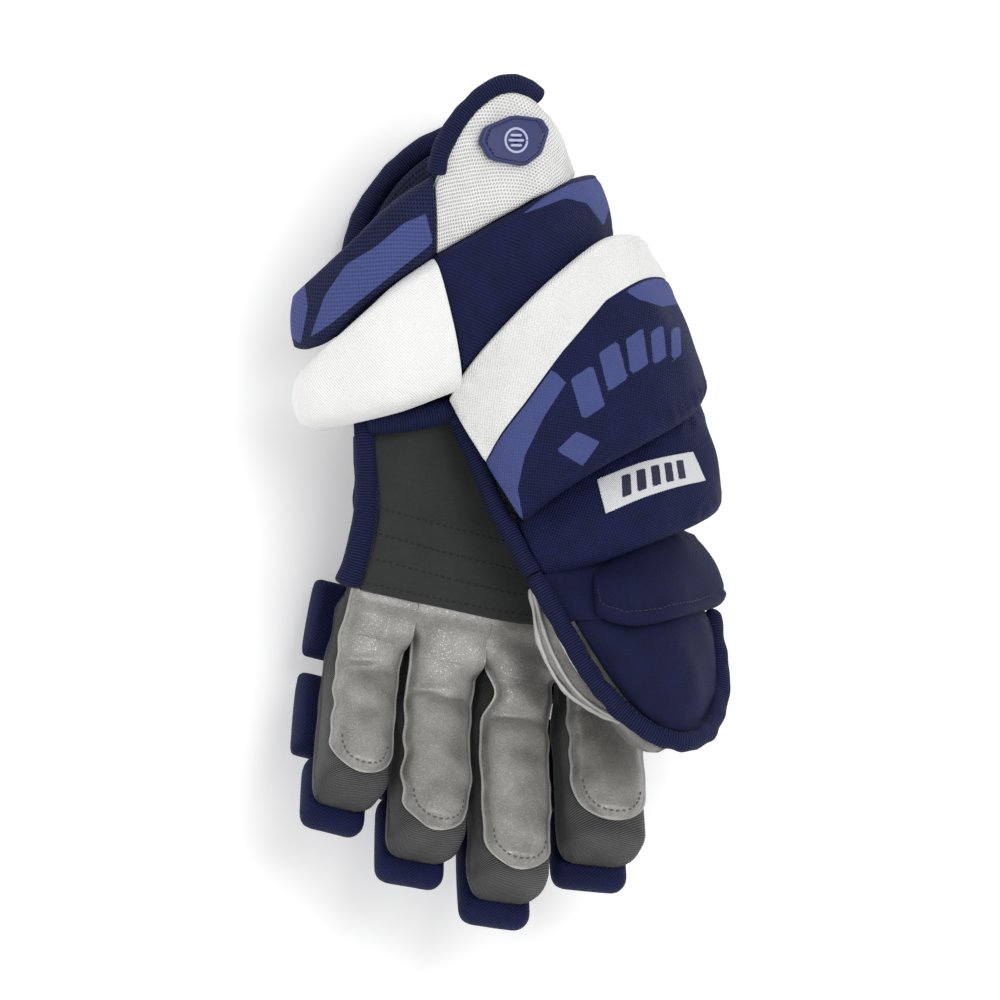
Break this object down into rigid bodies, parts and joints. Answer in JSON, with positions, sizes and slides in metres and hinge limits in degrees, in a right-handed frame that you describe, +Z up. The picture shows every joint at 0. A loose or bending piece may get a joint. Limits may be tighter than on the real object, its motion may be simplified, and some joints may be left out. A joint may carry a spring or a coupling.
{
  "type": "ice hockey glove",
  "caption": "Left ice hockey glove with segmented foam rolls, a leather palm, curled jointed finger stalls, a thumb across the palm and a flared cuff.",
  "frame": {"origin": "on the surface that the glove lies on, under the middle of the backhand: x and y are the width's and length's own zero, near the middle of the palm", "axes": "+Z up out of the palm, +Y from the fingertips to the cuff, +X towards the thumb side"},
  "size_m": [0.1829, 0.3553, 0.1131],
  "materials": {
    "navy_fabric": "woven nylon, matt",
    "navy_tape": "ribbed binding tape",
    "white_fabric": "hexagonal mesh knit",
    "label_fabric": "woven label",
    "grey_suede": "napped suede",
    "silver_leather": "metallic synthetic leather",
    "dark_mesh": "ribbed stretch mesh",
    "rubber_badge": "moulded, satin",
    "white_plastic": "moulded sheet",
    "liner_fabric": "brushed knit"
  },
  "bodies": {
    "hand": {"backhand_roll_upper": "navy_fabric", "backhand_roll_middle": "navy_fabric", "backhand_roll_knuckle": "navy_fabric", "backhand_plate": "white_plastic", "backhand_liner": "liner_fabric", "pinky_side_wall": "navy_fabric", "index_side_wall": "navy_fabric", "palm_heel": "grey_suede", "palm_lower": "silver_leather", "thumb_side_leather": "silver_leather", "pinky_binding": "navy_tape", "wrist_binding": "navy_tape", "pinky_wrist_roll": "white_fabric", "thumb_wrist_roll": "navy_fabric", "rear_wrist_roll": "navy_fabric", "thumb_side_roll": "white_fabric", "thumb_label_roll": "navy_fabric", "woven_label": "label_fabric", "thumb_binding_upper": "navy_tape"},
    "thumb": {"thumb_middle_pad": "navy_fabric", "thumb_tip_pad": "navy_fabric", "thumb_pouch": "silver_leather", "thumb_splint": "white_plastic", "thumb_binding": "navy_tape"},
    "cuff": {"pinky_cuff_panel": "navy_fabric", "thumb_cuff_panel": "white_fabric", "rear_cuff_panel": "navy_fabric", "cuff_plate": "white_plastic", "cuff_lining": "liner_fabric", "front_cuff_binding": "navy_tape", "rear_cuff_binding": "navy_tape", "cuff_badge": "rubber_badge"},
    "pinky_base": {"pinky_base_pad": "navy_fabric", "pinky_base_gusset": "dark_mesh", "pinky_base_strip": "silver_leather"},
    "pinky_tip": {"pinky_middle_pad": "navy_fabric", "pinky_tip_pad": "navy_fabric", "pinky_tip_gusset": "dark_mesh", "pinky_tip_strip": "silver_leather"},
    "ring_base": {"ring_base_pad": "navy_fabric", "ring_base_gusset": "dark_mesh", "ring_base_strip": "silver_leather"},
    "ring_tip": {"ring_middle_pad": "navy_fabric", "ring_tip_pad": "navy_fabric", "ring_tip_gusset": "dark_mesh", "ring_tip_strip": "silver_leather"},
    "middle_base": {"middle_base_pad": "navy_fabric", "middle_base_gusset": "dark_mesh", "middle_base_strip": "silver_leather"},
    "middle_tip": {"middle_middle_pad": "navy_fabric", "middle_tip_pad": "navy_fabric", "middle_tip_gusset": "dark_mesh", "middle_tip_strip": "silver_leather"},
    "index_base": {"index_base_pad": "navy_fabric", "index_base_gusset": "dark_mesh", "index_base_strip": "silver_leather"},
    "index_tip": {"index_middle_pad": "navy_fabric", "index_tip_pad": "navy_fabric", "index_tip_gusset": "dark_mesh", "index_tip_strip": "silver_leather"}
  },
  "joints": [
    {"name": "cuff_flex", "type": "hinge", "parent": "hand", "child": "cuff", "pos_m": [-0.03916, 0.104, 0.046], "axis": [-0.8211, -0.5708, 0], "range_deg": [-4, 12]},
    {"name": "thumb_open", "type": "hinge", "parent": "hand", "child": "thumb", "pos_m": [0.00431, -0.026, 0.0885], "axis": [-0.9135, -0.4067, 0], "range_deg": [-6, 12]},
    {"name": "pinky_knuckle", "type": "hinge", "parent": "hand", "child": "pinky_base", "pos_m": [-0.072, -0.043, 0.046], "axis": [-0.9724, 0.2334, 0], "range_deg": [-10, 40]},
    {"name": "pinky_bend", "type": "hinge", "parent": "pinky_base", "child": "pinky_tip", "pos_m": [-0.07867, -0.07077, 0.05104], "axis": [-0.9724, 0.2334, 0], "range_deg": [-15, 45]},
    {"name": "ring_knuckle", "type": "hinge", "parent": "hand", "child": "ring_base", "pos_m": [-0.0415, -0.05, 0.046], "axis": [-0.9816, 0.1908, 0], "range_deg": [-10, 40]},
    {"name": "ring_bend", "type": "hinge", "parent": "ring_base", "child": "ring_tip", "pos_m": [-0.04789, -0.08287, 0.0519], "axis": [-0.9816, 0.1908, 0], "range_deg": [-15, 45]},
    {"name": "middle_knuckle", "type": "hinge", "parent": "hand", "child": "middle_base", "pos_m": [-0.0098, -0.055, 0.046], "axis": [-0.9903, 0.1392, 0], "range_deg": [-10, 30]},
    {"name": "middle_bend", "type": "hinge", "parent": "middle_base", "child": "middle_tip", "pos_m": [-0.01508, -0.09255, 0.05269], "axis": [-0.9903, 0.1392, 0], "range_deg": [-15, 35]},
    {"name": "index_knuckle", "type": "hinge", "parent": "hand", "child": "index_base", "pos_m": [0.028, -0.055, 0.046], "axis": [-0.9945, 0.1045, 0], "range_deg": [-10, 10]},
    {"name": "index_bend", "type": "hinge", "parent": "index_base", "child": "index_tip", "pos_m": [0.0245, -0.0883, 0.0519], "axis": [-0.9945, 0.1045, 0], "range_deg": [-15, 20]}
  ]
}
